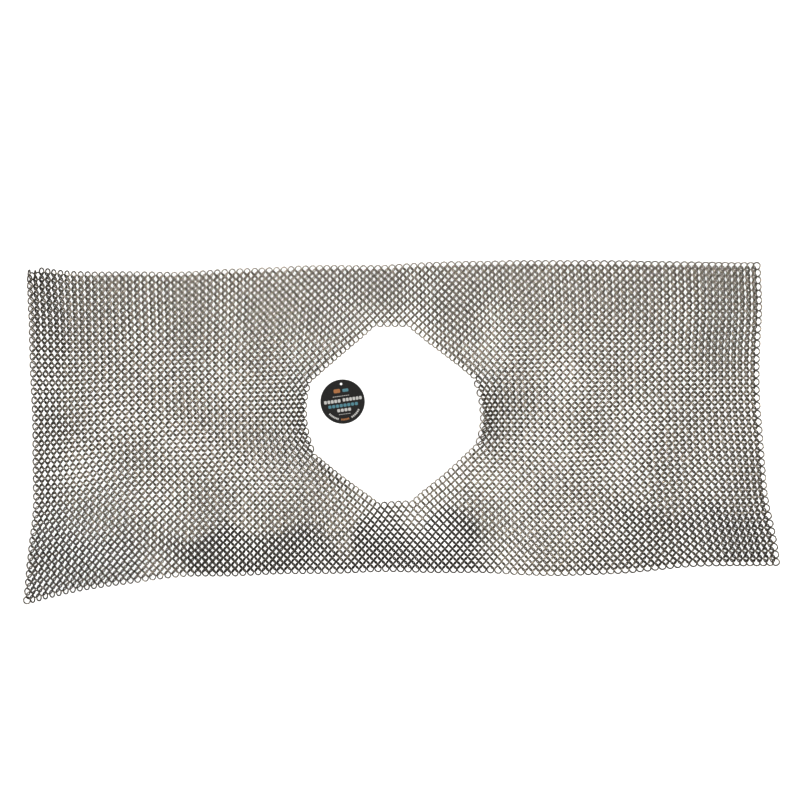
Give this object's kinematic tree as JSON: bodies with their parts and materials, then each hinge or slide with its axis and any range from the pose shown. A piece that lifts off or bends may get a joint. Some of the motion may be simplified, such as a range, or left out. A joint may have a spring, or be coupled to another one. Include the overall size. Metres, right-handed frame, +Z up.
{
  "type": "chain mail weighted vest",
  "caption": "Poncho-style vest of steel ring mesh laid out flat: a long rectangle with an octagonal neck opening and a loose round swing tag.",
  "frame": {"origin": "bottom centre of the bounding box, on the table the vest lies on", "axes": "+X along the vest towards the back hem, +Y across it towards the wearer's right, +Z up from the table"},
  "size_m": [0.855, 0.3908, 0.0047],
  "materials": {
    "mail_steel": "satin",
    "link_steel": "satin",
    "tag_card": "matte"
  },
  "bodies": {
    "shoulders": {"left_shoulder": "mail_steel", "right_shoulder": "mail_steel"},
    "front_strap_1": {"left_front_strap_1": "mail_steel", "right_front_strap_1": "mail_steel", "left_front_strap_1_links": "link_steel", "right_front_strap_1_links": "link_steel"},
    "front_strap_2": {"left_front_strap_2": "mail_steel", "right_front_strap_2": "mail_steel", "left_front_strap_2_links": "link_steel", "right_front_strap_2_links": "link_steel"},
    "front_panel_1": {"front_panel_1": "mail_steel", "front_panel_1_links": "link_steel"},
    "front_panel_2": {"front_panel_2": "mail_steel", "front_panel_2_links": "link_steel"},
    "front_panel_3": {"front_panel_3": "mail_steel", "front_panel_3_links": "link_steel"},
    "front_panel_4": {"front_panel_4": "mail_steel", "front_panel_4_links": "link_steel"},
    "front_panel_5": {"front_panel_5": "mail_steel", "front_panel_5_links": "link_steel"},
    "front_panel_6": {"front_panel_6": "mail_steel", "front_panel_6_links": "link_steel"},
    "front_panel_7": {"front_panel_7": "mail_steel", "front_panel_7_links": "link_steel"},
    "back_strap_1": {"left_back_strap_1": "mail_steel", "right_back_strap_1": "mail_steel", "left_back_strap_1_links": "link_steel", "right_back_strap_1_links": "link_steel"},
    "back_strap_2": {"left_back_strap_2": "mail_steel", "right_back_strap_2": "mail_steel", "left_back_strap_2_links": "link_steel", "right_back_strap_2_links": "link_steel"},
    "back_panel_1": {"back_panel_1": "mail_steel", "back_panel_1_links": "link_steel"},
    "back_panel_2": {"back_panel_2": "mail_steel", "back_panel_2_links": "link_steel"},
    "back_panel_3": {"back_panel_3": "mail_steel", "back_panel_3_links": "link_steel"},
    "back_panel_4": {"back_panel_4": "mail_steel", "back_panel_4_links": "link_steel"},
    "back_panel_5": {"back_panel_5": "mail_steel", "back_panel_5_links": "link_steel"},
    "back_panel_6": {"back_panel_6": "mail_steel", "back_panel_6_links": "link_steel"},
    "back_panel_7": {"back_panel_7": "mail_steel", "back_panel_7_links": "link_steel"},
    "swing_tag": {"swing_tag": "tag_card"}
  },
  "joints": [
    {"name": "front_strap_1_fold", "type": "hinge", "parent": "shoulders", "child": "front_strap_1", "pos_m": [-0.0305, 0, 0.00235], "axis": [0, 1, 0], "range_deg": [0, 18]},
    {"name": "front_strap_2_fold", "type": "hinge", "parent": "front_strap_1", "child": "front_strap_2", "pos_m": [-0.06985, 0, 0.00235], "axis": [0, 1, 0], "range_deg": [0, 18]},
    {"name": "front_panel_1_fold", "type": "hinge", "parent": "front_strap_2", "child": "front_panel_1", "pos_m": [-0.1092, 0, 0.00235], "axis": [0, 1, 0], "range_deg": [0, 18]},
    {"name": "front_panel_2_fold", "type": "hinge", "parent": "front_panel_1", "child": "front_panel_2", "pos_m": [-0.1537, 0, 0.00235], "axis": [0, 1, 0], "range_deg": [0, 18]},
    {"name": "front_panel_3_fold", "type": "hinge", "parent": "front_panel_2", "child": "front_panel_3", "pos_m": [-0.1982, 0, 0.00235], "axis": [0, 1, 0], "range_deg": [0, 18]},
    {"name": "front_panel_4_fold", "type": "hinge", "parent": "front_panel_3", "child": "front_panel_4", "pos_m": [-0.2427, 0, 0.00235], "axis": [0, 1, 0], "range_deg": [0, 18]},
    {"name": "front_panel_5_fold", "type": "hinge", "parent": "front_panel_4", "child": "front_panel_5", "pos_m": [-0.2872, 0, 0.00235], "axis": [0, 1, 0], "range_deg": [0, 18]},
    {"name": "front_panel_6_fold", "type": "hinge", "parent": "front_panel_5", "child": "front_panel_6", "pos_m": [-0.3317, 0, 0.00235], "axis": [0, 1, 0], "range_deg": [0, 18]},
    {"name": "front_panel_7_fold", "type": "hinge", "parent": "front_panel_6", "child": "front_panel_7", "pos_m": [-0.3762, 0, 0.00235], "axis": [0, 1, 0], "range_deg": [0, 18]},
    {"name": "back_strap_1_fold", "type": "hinge", "parent": "shoulders", "child": "back_strap_1", "pos_m": [0.0135, 0, 0.00235], "axis": [0, -1, 0], "range_deg": [0, 18]},
    {"name": "back_strap_2_fold", "type": "hinge", "parent": "back_strap_1", "child": "back_strap_2", "pos_m": [0.05285, 0, 0.00235], "axis": [0, -1, 0], "range_deg": [0, 18]},
    {"name": "back_panel_1_fold", "type": "hinge", "parent": "back_strap_2", "child": "back_panel_1", "pos_m": [0.0922, 0, 0.00235], "axis": [0, -1, 0], "range_deg": [0, 18]},
    {"name": "back_panel_2_fold", "type": "hinge", "parent": "back_panel_1", "child": "back_panel_2", "pos_m": [0.13706, 0, 0.00235], "axis": [0, -1, 0], "range_deg": [0, 18]},
    {"name": "back_panel_3_fold", "type": "hinge", "parent": "back_panel_2", "child": "back_panel_3", "pos_m": [0.18191, 0, 0.00235], "axis": [0, -1, 0], "range_deg": [0, 18]},
    {"name": "back_panel_4_fold", "type": "hinge", "parent": "back_panel_3", "child": "back_panel_4", "pos_m": [0.22677, 0, 0.00235], "axis": [0, -1, 0], "range_deg": [0, 18]},
    {"name": "back_panel_5_fold", "type": "hinge", "parent": "back_panel_4", "child": "back_panel_5", "pos_m": [0.27163, 0, 0.00235], "axis": [0, -1, 0], "range_deg": [0, 18]},
    {"name": "back_panel_6_fold", "type": "hinge", "parent": "back_panel_5", "child": "back_panel_6", "pos_m": [0.31649, 0, 0.00235], "axis": [0, -1, 0], "range_deg": [0, 18]},
    {"name": "back_panel_7_fold", "type": "hinge", "parent": "back_panel_6", "child": "back_panel_7", "pos_m": [0.36134, 0, 0.00235], "axis": [0, -1, 0], "range_deg": [0, 18]},
    {"name": "tag_lift", "type": "slide", "parent": "shoulders", "child": "swing_tag", "axis": [0, 0, 1], "range_m": [0, 0.05]}
  ]
}
